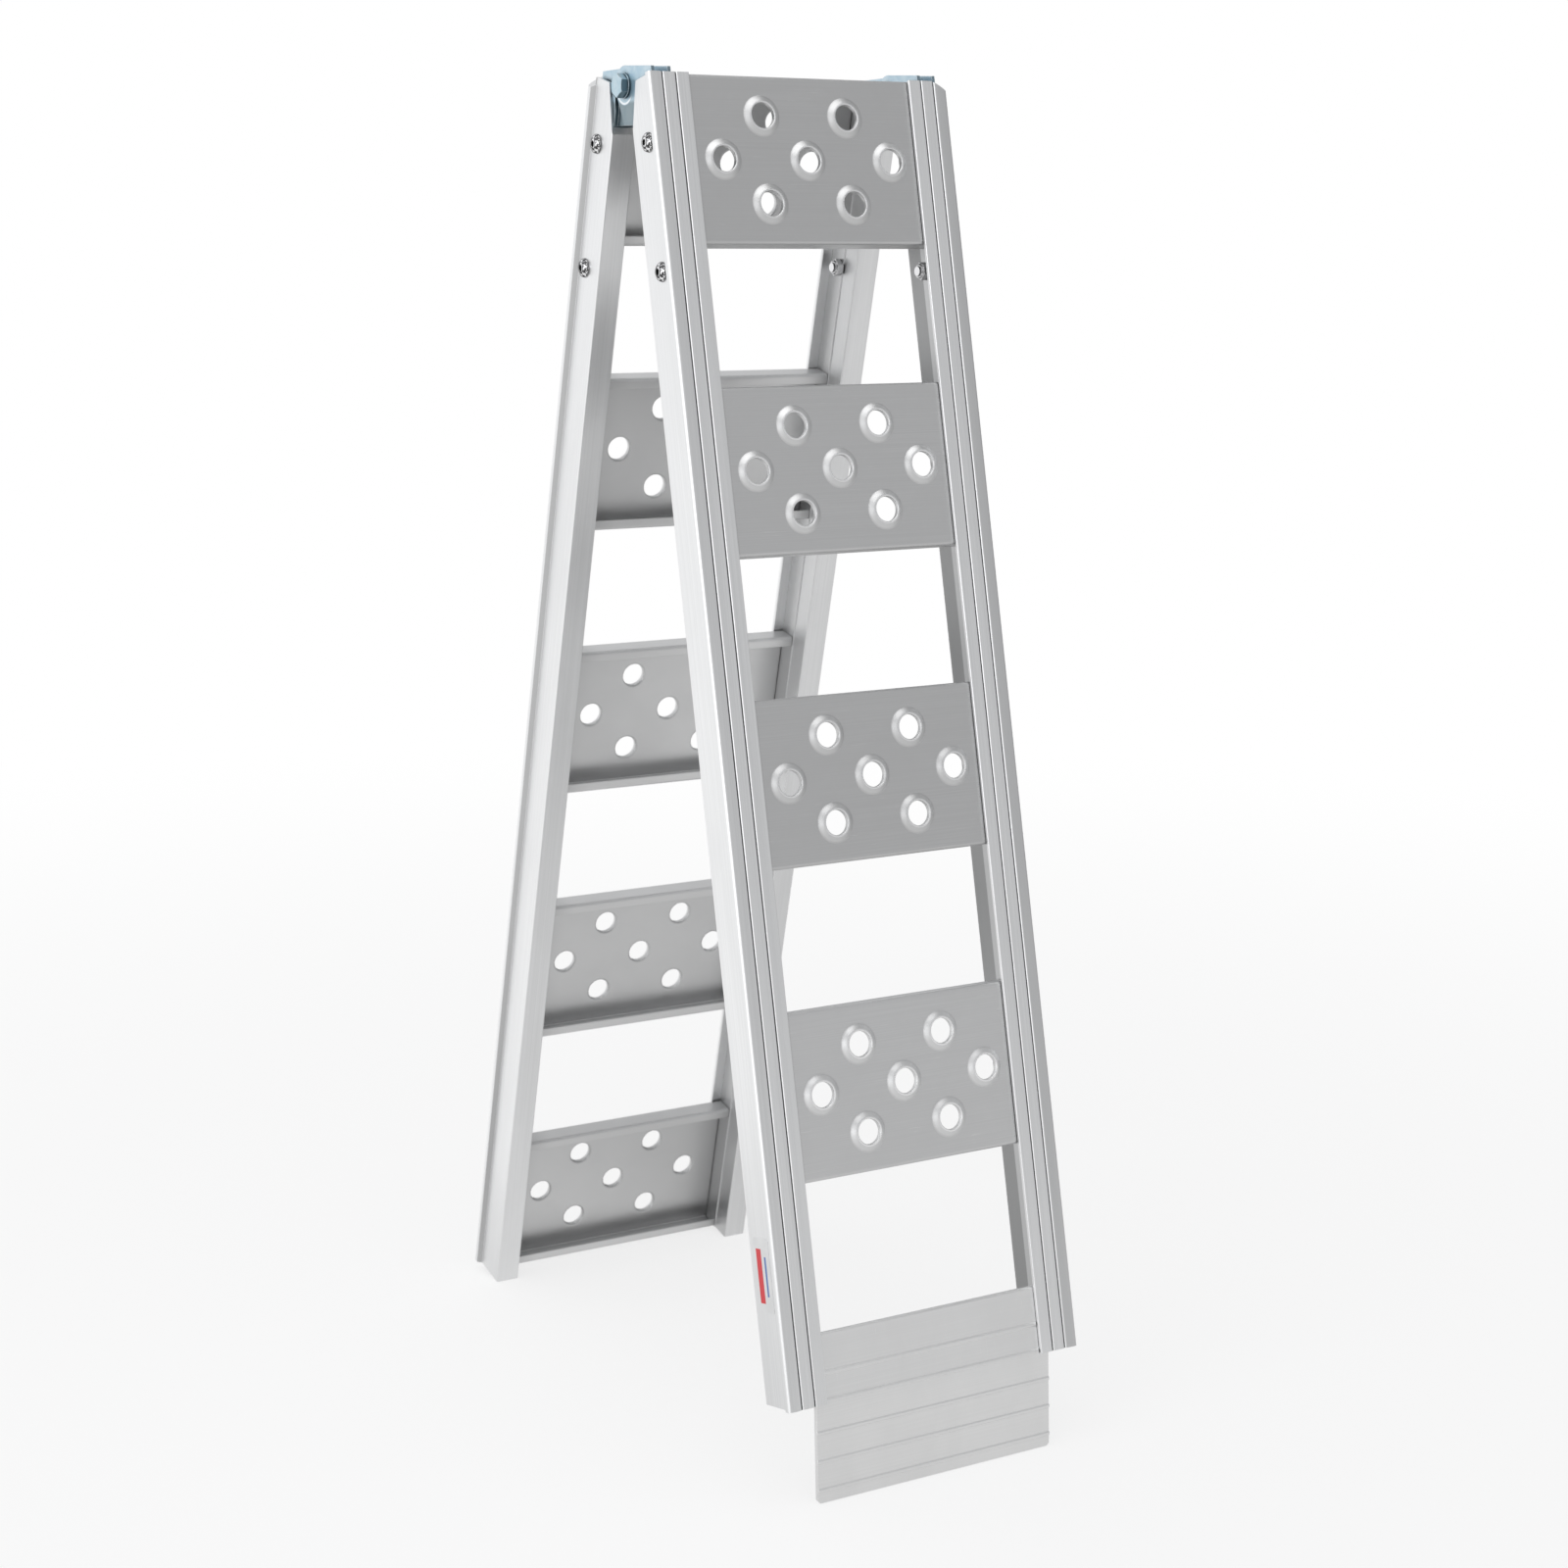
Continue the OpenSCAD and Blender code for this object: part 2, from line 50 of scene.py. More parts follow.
# ------------------------------------------------------------------ section frames
PIVOT = Vector(frame["joints"][0]["pos_m"])
mounts = {mount["name"]: mount for mount in frame["record"]["mounts"]}
ground_axis = Vector(mounts["ground_end"]["axis"])
LEAN = math.atan2(ground_axis.y, -ground_axis.z)
OFFSET_Y, OFFSET_Z = 0.009, -0.002      # section origin from the pivot, in the leaning frame
LEANING = Matrix.Rotation(LEAN, 4, "X") @ Matrix.Translation((0, OFFSET_Y, OFFSET_Z))
SECTION = {
    "front": Matrix.Translation(PIVOT) @ Matrix.Rotation(math.pi, 4, "Z") @ LEANING,
    "rear": Matrix.Translation(PIVOT) @ LEANING,
}
BODY = {"front": "lip_section", "rear": "ground_section"}

TREAD_HALF = 0.1128                     # half a tread's width

# bands of the rail's section, by distance from the ramp's middle plane
STEP_BAND = (TREAD_HALF, 0.1136)
INNER_WALL_BAND = (0.1136, 0.1144)
GROOVE_BANDS = ((0.1144, 0.1164), (0.1265, 0.1285))
BEAD_START = (0.1290, 0.1296)
UNDERSTEP_BAND = (0.1361, 0.1400)


# ------------------------------------------------------------------ node helpers
class Graph:
    """The node tree of a material or world, cleared down to its output."""

    def __init__(self, owner, output="ShaderNodeOutputMaterial"):
        owner.use_nodes = True
        self.owner = owner
        self.tree = owner.node_tree
        self.tree.nodes.clear()
        self.output = self.node(output)

    def put(self, socket, value):
        """Link a socket, or set it to a number, a vector or an RGB colour."""
        if isinstance(value, bpy.types.NodeSocket):
            self.tree.links.new(value, socket)
        elif socket.type == "RGBA":
            socket.default_value = tuple(value) + (1.0,)
        else:
            socket.default_value = value

    def node(self, kind, inputs=None, **settings):
        node = self.tree.nodes.new(kind)
        for key, value in settings.items():
            setattr(node, key, value)
        for key, value in (inputs or {}).items():
            self.put(node.inputs[key], value)
        return node

    def math(self, operation, first, second=0.0):
        inputs = {0: first, 1: second, 2: 0.0}
        return self.node("ShaderNodeMath", inputs, operation=operation).outputs[0]

    def plus(self, first, second):
        return self.math("ADD", first, second)

    def minus(self, first, second):
        return self.math("SUBTRACT", first, second)

    def times(self, first, second):
        return self.math("MULTIPLY", first, second)

    def size(self, value):
        return self.math("ABSOLUTE", value)

    def vector_math(self, operation, first, second=None):
        inputs = {0: first} if second is None else {0: first, 1: second}
        return self.node("ShaderNodeVectorMath", inputs, operation=operation)

    def dot(self, first, second):
        return self.vector_math("DOT_PRODUCT", first, second).outputs["Value"]

    def ramp(self, value, over, to=(0.0, 1.0)):
        """Smooth, clamped step between the two values of `to`; `over` may run downwards."""
        return self.node("ShaderNodeMapRange", dict(enumerate((value, *over, *to))),
                         interpolation_type="SMOOTHSTEP", clamp=True).outputs[0]

    def band(self, value, over, soft=0.0001):
        """1 inside the interval `over`, 0 outside it."""
        low, high = over
        return self.times(self.ramp(value, over=(low - soft, low + soft)),
                          self.ramp(value, over=(high - soft, high + soft), to=(1.0, 0.0)))

    def mix(self, factor, first, second, blend="MIX"):
        return self.node("ShaderNodeMix", {"Factor": factor, 6: first, 7: second},
                         data_type="RGBA", blend_type=blend, clamp_factor=True).outputs[2]

    def tint(self, colour, mask, to, amount=None):
        """Carry a colour towards another where the mask is 1, by `amount` if given."""
        if amount is not None:
            mask = self.times(mask, amount)
        return self.mix(mask, colour, to)

    def coords(self):
        return self.node("ShaderNodeTexCoord").outputs

    def along_section(self, lean, centre=(0, 0, 0)):
        """Object coordinates turned so that Z runs along the section."""
        inputs = {"Vector": self.coords()["Object"], "Center": centre, "Angle": lean}
        return self.node("ShaderNodeVectorRotate", inputs, rotation_type="X_AXIS").outputs[0]

    def scaled(self, vector, scale, shift=(0, 0, 0)):
        if not isinstance(scale, tuple):
            scale = (scale,) * 3
        inputs = {"Vector": vector, "Scale": scale, "Location": shift}
        return self.node("ShaderNodeMapping", inputs).outputs[0]

    def noise(self, vector, scale, shift=(0, 0, 0), detail=2.0, rough=0.5, warp=0.0):
        return self.node("ShaderNodeTexNoise", {
            "Vector": self.scaled(vector, scale, shift), "Scale": 1.0, "Detail": detail,
            "Roughness": rough, "Distortion": warp}).outputs["Fac"]

    def bump(self, height, strength, distance, normal=None):
        inputs = {"Height": height, "Strength": strength, "Distance": distance}
        if normal is not None:
            inputs["Normal"] = normal
        return self.node("ShaderNodeBump", inputs).outputs[0]

    def edges(self, radius):
        """Soft normal over sharp edges, and a mask that is 1 on them."""
        bevel = self.node("ShaderNodeBevel", {"Radius": radius}, samples=4).outputs[0]
        turn = self.dot(bevel, self.node("ShaderNodeNewGeometry").outputs["Normal"])
        return bevel, self.ramp(self.minus(1.0, turn), over=(0.02, 0.25))

    def split(self, vector):
        return tuple(self.node("ShaderNodeSeparateXYZ", {0: vector}).outputs)

    def combine(self, x, y, z):
        return self.node("ShaderNodeCombineXYZ", {0: x, 1: y, 2: z}).outputs[0]

    def openness(self, reach, over):
        """Ambient occlusion: 1 in the open unless `over` runs downwards, then 1 in crevices."""
        node = self.node("ShaderNodeAmbientOcclusion", {"Distance": reach}, samples=6)
        return self.ramp(node.outputs["AO"], over)

    def attribute(self, name):
        return self.node("ShaderNodeAttribute", attribute_type="GEOMETRY",
                         attribute_name=name).outputs

    def end(self, shader):
        self.put(self.output.inputs[0], shader.outputs[0])

    def finish(self, colour, rough, normal, metallic=1.0):
        """Join everything into one principled surface and return the material."""
        self.end(self.node("ShaderNodeBsdfPrincipled", {
            "Base Color": colour, "Metallic": metallic, "Roughness": rough, "Normal": normal}))
        return self.owner


def material_graph(name):
    return Graph(bpy.data.materials.new(name))


def shade(colour, by):
    return tuple(min(1.0, channel * by) for channel in colour)


# ------------------------------------------------------------------ materials
def rail_painted_light(g, colour, base, inner_dull, outward):
    """Painted shade and highlights on the rail's walls, bead and grooves; outward is the sign of Y the treads
    face.
    """
    x = g.split(g.coords()["Object"])[0]
    normal = g.node("ShaderNodeNewGeometry").outputs["Normal"]
    normal_x = g.split(normal)[0]
    sideways = g.ramp(g.size(normal_x), over=(0.6, 0.75))
    # painted shade on the inner wall, and on the step beside it
    wall = g.times(g.band(g.size(x), INNER_WALL_BAND), sideways)
    colour = g.tint(colour, wall, to=shade(base, by=0.30), amount=inner_dull)
    away = g.size(x)
    step = g.times(g.band(away, STEP_BAND), sideways)
    colour = g.tint(colour, step, to=shade(base, by=0.55), amount=0.75)
    # painted shade: crowned side bead darker than the flange, less so on the -X rail; painted shade on the step
    # under it
    out = g.times(g.split(normal)[1], outward)
    tread_side = g.ramp(out, over=(0.6, 0.8))
    under = g.times(g.ramp(out, over=(-0.35, -0.6)), g.band(away, UNDERSTEP_BAND))
    bead = g.times(g.ramp(away, over=BEAD_START), tread_side)
    by_rail = g.ramp(x, over=(-0.01, 0.01), to=(0.30, 1.0))
    colour = g.tint(colour, bead, to=shade(base, by=0.76), amount=by_rail)
    colour = g.tint(colour, under, to=shade(base, by=0.50), amount=0.85)
    # grooves: painted shade, with a painted highlight on walls whose normal points to -X
    groove = g.math("MAXIMUM", *(g.band(away, band) for band in GROOVE_BANDS))
    dark = g.times(g.times(groove, g.ramp(normal_x, over=(-0.45, -0.15))),
                   g.ramp(out, over=(-0.5, -0.2)))
    colour = g.tint(colour, dark, to=shade(base, by=0.16), amount=0.92)
    lit = g.times(groove, g.ramp(normal_x, over=(-0.15, -0.45)))
    return g.tint(colour, lit, to=shade(base, by=0.92), amount=0.9)


def extruded(name, lean, base, rough, lines_scale=(700, 700, 2.2), streak=1.0, **painted_light_settings):
    """Mill-finish extruded aluminium: die lines, faint handling marks, painted highlights on the edges, painted
    shade in crevices.
    """
    g = material_graph(name)
    place = g.along_section(lean)
    across_x, across_y, lengthwise = lines_scale
    lines = g.noise(place, scale=lines_scale, detail=4.0, rough=0.6)
    wide = g.noise(place, scale=(across_x * 0.16, across_y * 0.16, lengthwise * 0.4),
                   shift=(3.1, 7.7, 1.3))
    cloud = g.noise(place, scale=(14, 14, 6), shift=(9, 2, 4), detail=4.0, rough=0.6, warp=0.4)
    grain = g.noise(place, scale=2600)
    scratch = g.ramp(g.noise(place, scale=(1500, 1500, 34), shift=(5, 1, 8),
                             detail=1.0, rough=0.3, warp=1.2), over=(0.735, 0.765))
    colour = g.mix(g.ramp(lines, over=(0.32, 0.68)),
                   shade(base, by=1 - 0.045 * streak), shade(base, by=1 + 0.03 * streak))
    colour = g.tint(colour, g.ramp(cloud, over=(0.35, 0.7), to=(0.0, 0.55)),
                    to=shade(base, by=0.93))
    colour = g.tint(colour, scratch, to=shade(base, by=1.15), amount=0.35)
    soft, edge = g.edges(radius=0.0003)
    # painted highlight along the edges
    colour = g.tint(colour, edge, to=(0.97, 0.975, 0.98), amount=0.45)
    # painted shade and highlights on the rail's walls, bead and grooves
    if painted_light_settings:
        colour = rail_painted_light(g, colour, base, **painted_light_settings)
    # painted shade in crevices
    colour = g.tint(colour, g.openness(reach=0.0018, over=(0.55, 0.12)),
                    to=shade(base, by=0.20))
    roughness = g.plus(g.ramp(cloud, over=(0.3, 0.7), to=(rough - 0.035, rough + 0.045)),
                       g.times(g.minus(lines, 0.5), 0.16 * streak))
    roughness = g.minus(roughness, g.times(edge, 0.06))
    # height weights of the layers
    height = g.plus(g.times(lines, 0.6), g.plus(g.times(wide, 1.2), g.times(grain, 0.16)))
    height = g.minus(height, g.times(scratch, 0.5))
    return g.finish(colour, roughness,
                    g.bump(height, strength=0.55, distance=0.000012 * streak, normal=soft))


def sheet(name, base, rough):
    """Cold-rolled aluminium sheet: roll grain across the tread, clouds, painted highlights on the hole rims."""
    g = material_graph(name)
    place = g.attribute("tread_place")["Vector"]
    tone = g.attribute("tread_tone")["Fac"]
    # every tone gets its own stretch of the textures
    chance = g.math("FRACT", g.times(tone, 37.7))
    shift = g.combine(g.times(chance, 7.0), 0.0, g.times(chance, 3.0))
    moved = g.vector_math("ADD", place, shift).outputs[0]
    roll = g.noise(moved, scale=(5, 1100, 1100), detail=4.0, rough=0.6)
    cloud = g.noise(moved, scale=(16, 16, 22), detail=4.0, rough=0.6, warp=0.5)
    grain = g.noise(moved, scale=2400)
    dent = g.noise(moved, scale=22, detail=1.0, rough=0.4)
    scratch = g.ramp(g.noise(moved, scale=(30, 1300, 900), shift=(2, 6, 1),
                             detail=1.0, rough=0.3, warp=1.5), over=(0.74, 0.77))
    colour = g.mix(g.ramp(roll, over=(0.3, 0.7)), shade(base, by=0.965), shade(base, by=1.03))
    colour = g.tint(colour, g.ramp(cloud, over=(0.35, 0.7), to=(0.0, 0.5)),
                    to=shade(base, by=0.94))
    colour = g.tint(colour, scratch, to=shade(base, by=1.25), amount=0.3)
    soft, edge = g.edges(radius=0.0005)
    # painted highlight along the edges
    colour = g.tint(colour, edge, to=(0.95, 0.955, 0.96), amount=0.6)
    # painted highlights on the hole flanks and rims, by height above the sheet's face
    height_up = g.split(place)[1]
    flank = g.ramp(height_up, over=(0.0002, 0.0012))
    rim = g.ramp(height_up, over=(0.00285, 0.00315))
    colour = g.tint(colour, flank, to=shade(base, by=1.22), amount=0.5)
    colour = g.tint(colour, rim, to=(0.95, 0.955, 0.96), amount=0.75)
    # painted light: the back is brightened, with painted shade towards the two ends
    back = g.ramp(height_up, over=(-0.0021, -0.0018), to=(1.0, 0.0))
    colour = g.tint(colour, back, to=shade(base, by=1.22))
    across = g.split(place)[0]
    ends = g.ramp(g.size(across), over=(0.080, TREAD_HALF), to=(0.0, 0.42))
    colour = g.tint(colour, ends, to=shade(base, by=0.72), amount=back)
    # painted light: each tread is made lighter or darker as the light falls on it
    colour = g.mix(1.0, colour, g.combine(tone, tone, tone), blend="MULTIPLY")
    # painted shade in crevices, weaker on the back, and a wider painted shade over the back
    colour = g.tint(colour, g.openness(reach=0.0035, over=(0.9, 0.35)),
                    to=shade(base, by=0.12), amount=g.ramp(back, over=(0.0, 1.0), to=(1.0, 0.45)))
    colour = g.tint(colour, g.openness(reach=0.012, over=(0.9, 0.3)),
                    to=shade(base, by=0.62), amount=g.times(back, 0.55))
    roughness = g.plus(g.ramp(cloud, over=(0.3, 0.7), to=(rough - 0.03, rough + 0.05)),
                       g.times(g.minus(roll, 0.5), 0.14))
    roughness = g.minus(roughness, g.times(rim, 0.12))
    # height weights of the layers
    height = g.plus(g.times(roll, 0.7), g.plus(g.times(grain, 0.25), g.times(dent, 6.0)))
    return g.finish(colour, roughness,
                    g.bump(height, strength=0.5, distance=0.00001, normal=soft))


def leaf_painted_light(g, colour, place):
    """Painted shade on the plate below the knuckle, with a painted highlight arc round the pivot."""
    _, y, z = g.split(place)
    offset_y = g.minus(y, PIVOT.y)
    offset_z = g.minus(z, PIVOT.z)
    squares = g.plus(g.times(offset_y, offset_y), g.times(offset_z, offset_z))
    away = g.math("SQRT", squares)
    dull = g.times(g.ramp(offset_z, over=(-0.010, -0.0145)), g.ramp(away, over=(0.0148, 0.0156)))
    colour = g.tint(colour, dull, to=(0.20, 0.25, 0.27), amount=0.8)
    arc = g.times(g.ramp(offset_z, over=(-0.006, -0.010)),
                  g.band(away, (0.0132, 0.0148), soft=0.0003))
    return g.tint(colour, arc, to=(0.96, 0.98, 1.0), amount=0.9)


def zinc(name, base, rough, tint, spangle, leaf=False):
    """Blue-passivated zinc plate: cool iridescent clouds and fine pitting."""
    g = material_graph(name)
    coords = g.coords()
    place = coords["Object"]
    cells = g.node("ShaderNodeTexVoronoi", {"Vector": g.scaled(place, spangle)})
    cloud = g.noise(place, scale=90, detail=5.0, rough=0.6, warp=0.6)
    pit = g.noise(place, scale=2200, detail=3.0, rough=0.6)
    drag = g.noise(place, scale=(60, 900, 900), rough=0.6)
    colour = g.mix(g.ramp(cloud, over=(0.3, 0.72)), base, tint)
    colour = g.tint(colour, g.ramp(cloud, over=(0.62, 0.8), to=(0, 0.3)), to=(0.74, 0.76, 0.84))
    soft, edge = g.edges(radius=0.0006)
    # darker where it mirrors what lies below or towards -Y
    _, mirrored_y, mirrored_z = g.split(coords["Reflection"])
    colour = g.mix(g.ramp(mirrored_z, over=(-0.8, -0.05)), shade(tint, by=0.5), colour)
    colour = g.tint(colour, g.ramp(mirrored_y, over=(-0.25, -0.6)), to=shade(tint, by=0.55))
    # painted shade below the knuckle and a painted highlight arc round the pivot
    if leaf:
        colour = leaf_painted_light(g, colour, place)
    # painted shade in crevices
    colour = g.mix(g.openness(reach=0.006, over=(0.35, 0.92)), (0.035, 0.06, 0.075), colour)
    # painted highlight along the edges
    colour = g.tint(colour, edge, to=(0.95, 0.98, 1.0), amount=0.8)
    roughness = g.plus(g.ramp(cloud, over=(0.3, 0.7), to=(rough, rough + 0.1)),
                       g.times(pit, 0.08))
    # height weights of the layers
    height = g.plus(g.times(pit, 0.4),
                    g.plus(g.times(cells.outputs["Distance"], 0.5), g.times(drag, 0.6)))
    return g.finish(colour, roughness,
                    g.bump(height, strength=0.45, distance=0.000012, normal=soft))


def stainless(name, base, rough, mirror):
    """Polished stainless hardware with turning marks and a few nicks."""
    g = material_graph(name)
    coords = g.coords()
    place = coords["Object"]
    turning = g.noise(place, scale=(2400, 260, 260))
    fine = g.noise(place, scale=1800)
    nick = g.ramp(g.noise(place, scale=500), over=(0.70, 0.74))
    colour = g.mix(g.ramp(fine, over=(0.3, 0.7)), shade(base, by=0.94), shade(base, by=1.04))
    colour = g.tint(colour, nick, to=shade(base, by=0.7), amount=0.4)
    soft, edge = g.edges(radius=0.00035)
    # dark streaks mirrored in the polish
    streak = g.noise(coords["Reflection"], scale=2.6, shift=(0.7, 0.2, 0.4),
                     detail=1.5, warp=0.3)
    colour = g.tint(colour, g.ramp(streak, over=(0.55, 0.49)), to=(0.02, 0.02, 0.022),
                    amount=mirror)
    # painted shade in crevices
    colour = g.mix(g.openness(reach=0.004, over=(0.4, 0.85)), (0.015, 0.015, 0.016), colour)
    # painted highlight along the edges
    colour = g.tint(colour, edge, to=(0.98, 0.98, 0.98), amount=0.6)
    height = g.plus(turning, g.times(nick, -2.0))
    return g.finish(colour, g.plus(rough, g.times(fine, 0.1)),
                    g.bump(height, strength=0.35, distance=0.000006, normal=soft))


def printed_film(name):
    """Thin decal film: clear over the metal, with one red and one blue bar printed on it."""
    g = material_graph(name)
    place = g.along_section(LEAN, tuple(PIVOT))
    _, place_y, place_z = g.split(place)
    y = g.minus(PIVOT.y - OFFSET_Y, place_y)
    z = g.plus(place_z, -OFFSET_Z - PIVOT.z)
    fine = g.noise(place, scale=2600)
    wave = g.noise(place, scale=60, detail=3.0)

    def bar(over_y, over_z):
        return g.times(g.band(y, over_y, soft=0.00012), g.band(z, over_z, soft=0.00012))

    def mottled(texture, first, second):
        return g.mix(g.ramp(texture, over=(0.3, 0.7)), first, second)

    red = bar(over_y=(0.0104, 0.0182), over_z=(-0.978, -0.934))
    blue = bar(over_y=(0.0226, 0.0252), over_z=(-0.972, -0.940))
    ink = g.math("MAXIMUM", red, blue)
    colour = mottled(wave, (0.80, 0.805, 0.81), (0.86, 0.865, 0.87))
    colour = g.tint(colour, red, to=mottled(fine, (0.55, 0.020, 0.030), (0.66, 0.035, 0.045)))
    colour = g.tint(colour, blue, to=mottled(fine, (0.045, 0.12, 0.36), (0.065, 0.16, 0.44)))
    height = g.plus(g.times(ink, 2.0), g.times(fine, 0.3))
    return g.finish(colour, g.ramp(fine, over=(0.3, 0.7), to=(0.30, 0.38)),
                    g.bump(height, strength=0.4, distance=0.00001),
                    metallic=g.minus(1.0, ink))


RAIL = (0.88, 0.885, 0.89)
materials = {
    "rail_front": extruded("rail_front_metal", LEAN, RAIL, rough=0.36,
                           inner_dull=0.85, outward=-1),
    "rail_rear": extruded("rail_rear_metal", -LEAN, RAIL, rough=0.36,
                          inner_dull=0.35, outward=1),
    "tread": sheet("tread_metal", base=(0.62, 0.622, 0.624), rough=0.38),
    "lip": extruded("lip_metal", LEAN, base=(0.90, 0.901, 0.90), rough=0.40,
                    lines_scale=(3, 900, 900), streak=0.4),
    "leaf": zinc("zinc_plate", base=(0.60, 0.72, 0.79), rough=0.26,
                 tint=(0.46, 0.62, 0.72), spangle=420, leaf=True),
    "hardware": zinc("zinc_hardware_plate", base=(0.60, 0.72, 0.78), rough=0.22,
                     tint=(0.44, 0.61, 0.70), spangle=700),
    "bolt": stainless("bolt_polished", base=(0.86, 0.86, 0.87), rough=0.09, mirror=0.95),
    "nut": stainless("nut_steel", base=(0.70, 0.70, 0.71), rough=0.20, mirror=0.5),
    "decal": printed_film("decal_print"),
}


# ------------------------------------------------------------------ finishing the CAD pieces
def geometry_group(name):
    group = bpy.data.node_groups.new(name, "GeometryNodeTree")
    for direction in ("INPUT", "OUTPUT"):
        group.interface.new_socket("Geometry", in_out=direction,
                                   socket_type="NodeSocketGeometry")
    return group, group.nodes.new("NodeGroupInput"), group.nodes.new("NodeGroupOutput")


def chain(group, nodes):
    """Pass the geometry through the nodes in turn."""
    for before, after in zip(nodes, nodes[1:]):
        group.links.new(before.outputs[0], after.inputs[0])


def clean_group():
    """Weld the vertices, drop the stored normals and shade everything smooth."""
    group, start, end = geometry_group("clean_mesh")
    weld = group.nodes.new("GeometryNodeMergeByDistance")
    weld.inputs["Distance"].default_value = 2e-6
    remove = group.nodes.new("GeometryNodeRemoveAttribute")
    remove.inputs["Name"].default_value = "custom_normal"
    smooth_faces = group.nodes.new("GeometryNodeSetShadeSmooth")
    smooth_faces.domain = "FACE"
    smooth_edges = group.nodes.new("GeometryNodeSetShadeSmooth")
    smooth_edges.domain = "EDGE"
    chain(group, (start, weld, remove, smooth_faces, smooth_edges, end))
    return group


def sharp_group(angle):
    """Mark edges that turn by more than the angle as sharp."""
    group, start, end = geometry_group("sharp_edges")
    edge_angle = group.nodes.new("GeometryNodeInputMeshEdgeAngle")
    compare = group.nodes.new("FunctionNodeCompare")
    compare.data_type = "FLOAT"
    compare.operation = "GREATER_THAN"
    compare.inputs[1].default_value = angle
    sharpen = group.nodes.new("GeometryNodeSetShadeSmooth")
    sharpen.domain = "EDGE"
    sharpen.inputs["Shade Smooth"].default_value = False
    group.links.new(edge_angle.outputs["Unsigned Angle"], compare.inputs[0])
    group.links.new(compare.outputs[0], sharpen.inputs["Selection"])
    chain(group, (start, sharpen, end))
    return group


CLEAN = clean_group()
SHARP = sharp_group(math.radians(42))


def modify(piece, name, kind, **settings):
    modifier = piece.modifiers.new(name, kind)
    for key, value in settings.items():
        setattr(modifier, key, value)


def weight_normals(piece):
    modify(piece, "weighted", "WEIGHTED_NORMAL", keep_sharp=True, weight=80)


def round_edges(piece, width):
    modify(piece, "clean", "NODES", node_group=CLEAN)
    modify(piece, "planar", "DECIMATE", decimate_type="DISSOLVE", angle_limit=math.radians(0.3))
    modify(piece, "edge_round", "BEVEL", width=width, segments=2, limit_method="ANGLE",
           angle_limit=math.radians(32), use_clamp_overlap=True)
    modify(piece, "sharp", "NODES", node_group=SHARP)
    weight_normals(piece)


# piece name pattern, material, width of the rounded edges; the first match counts
FINISHES = (
    ("rail_bolts*", "bolt", 0.00018),
    ("rail_nuts*", "nut", 0.00018),
    ("rail_front*", "rail_front", 0.00035),
    ("rail_rear*", "rail_rear", 0.00035),
    ("tread*", "tread", None),
    ("decal", "decal", 0.00008),
    ("loading_lip", "lip", 0.0004),
    ("leaf*", "leaf", 0.0004),
    ("*", "hardware", 0.0003),
)
for name, piece in frame["nodes"].items():
    material, width = next(row[1:] for row in FINISHES if fnmatchcase(name, row[0]))
    piece.data.materials.clear()
    piece.data.materials.append(materials[material])
    if width:
        round_edges(piece, width)


# ------------------------------------------------------------------ treads
# One tread is a pressed sheet with flared holes and folded edges:
# X across, Y out of the face (0 at the face), Z along the ramp.
TREAD_LENGTH = 0.136
TREAD_DEPTH = 0.020
SHEET = 0.002                           # sheet thickness
BEND = 0.003                            # outer radius of the folds
RETURN_LIP = 0.007
TIP_ROUND = 0.0007                      # rounding of the return lip's edge
FLAT_HALF = TREAD_LENGTH / 2 - BEND     # half length of the flat panel
HOLE_PITCH = 0.0785
ROW_PITCH = 0.0355
HOLE_SEGMENTS = 72
BEND_STEPS = 7
TIP_STEPS = 4
# flared hole from the panel's face over the rim to its back: radius, height, in mm
FLARE = [
    (17.0, 0.0), (16.7, 0.05), (16.35, 0.19), (16.0, 0.40), (15.0, 1.05), (14.0, 1.72),
    (13.0, 2.36), (12.4, 2.73), (11.95, 2.97), (11.55, 3.12), (11.2, 3.18), (10.9, 3.16),
    (10.65, 3.05), (10.45, 2.85), (10.32, 2.55), (10.26, 2.1), (10.25, 1.4), (10.25, 0.2),
    (10.27, -0.5), (10.4, -1.05), (10.7, -1.5), (11.2, -1.82), (11.8, -1.96), (12.5, -2.0),
]
HOLES = [(column * HOLE_PITCH, row * ROW_PITCH) for row in (-1, 1) for column in (-0.5, 0.5)]
HOLES += [(column * HOLE_PITCH, 0.0) for column in (-1, 0, 1)]


def stations(half, steps):
    return [half * (-1 + 2 * i / steps) for i in range(steps + 1)]


XS = stations(TREAD_HALF, 24)
ZS = stations(FLAT_HALF, 14)


class Shell:
    """A mesh whose faces share the vertices that fall on one place."""

    def __init__(self):
        self.bm = bmesh.new()
        self.known = {}

    def vert(self, x, y, z):
        key = (round(x * 1e7), round(y * 1e7), round(z * 1e7))
        if key not in self.known:
            self.known[key] = self.bm.verts.new((x, y, z))
        return self.known[key]

    def face(self, verts):
        distinct = list(dict.fromkeys(verts))
        if len(distinct) > 2:
            try:
                self.bm.faces.new(distinct)
            except ValueError:
                pass    # the same face is already there

    def strip(self, first, second):
        """Quads between two rows of vertices."""
        for k in range(len(first) - 1):
            self.face([first[k], first[k + 1], second[k + 1], second[k]])


def hole_circle(x, z, radius_mm):
    angles = [2 * math.pi * k / HOLE_SEGMENTS for k in range(HOLE_SEGMENTS)]
    return [(x + radius_mm * MM * math.cos(a), z + radius_mm * MM * math.sin(a))
            for a in angles]


def near_hole(x, z, radius):
    return any((x - cx) ** 2 + (z - cz) ** 2 < radius ** 2 for cx, cz in HOLES)


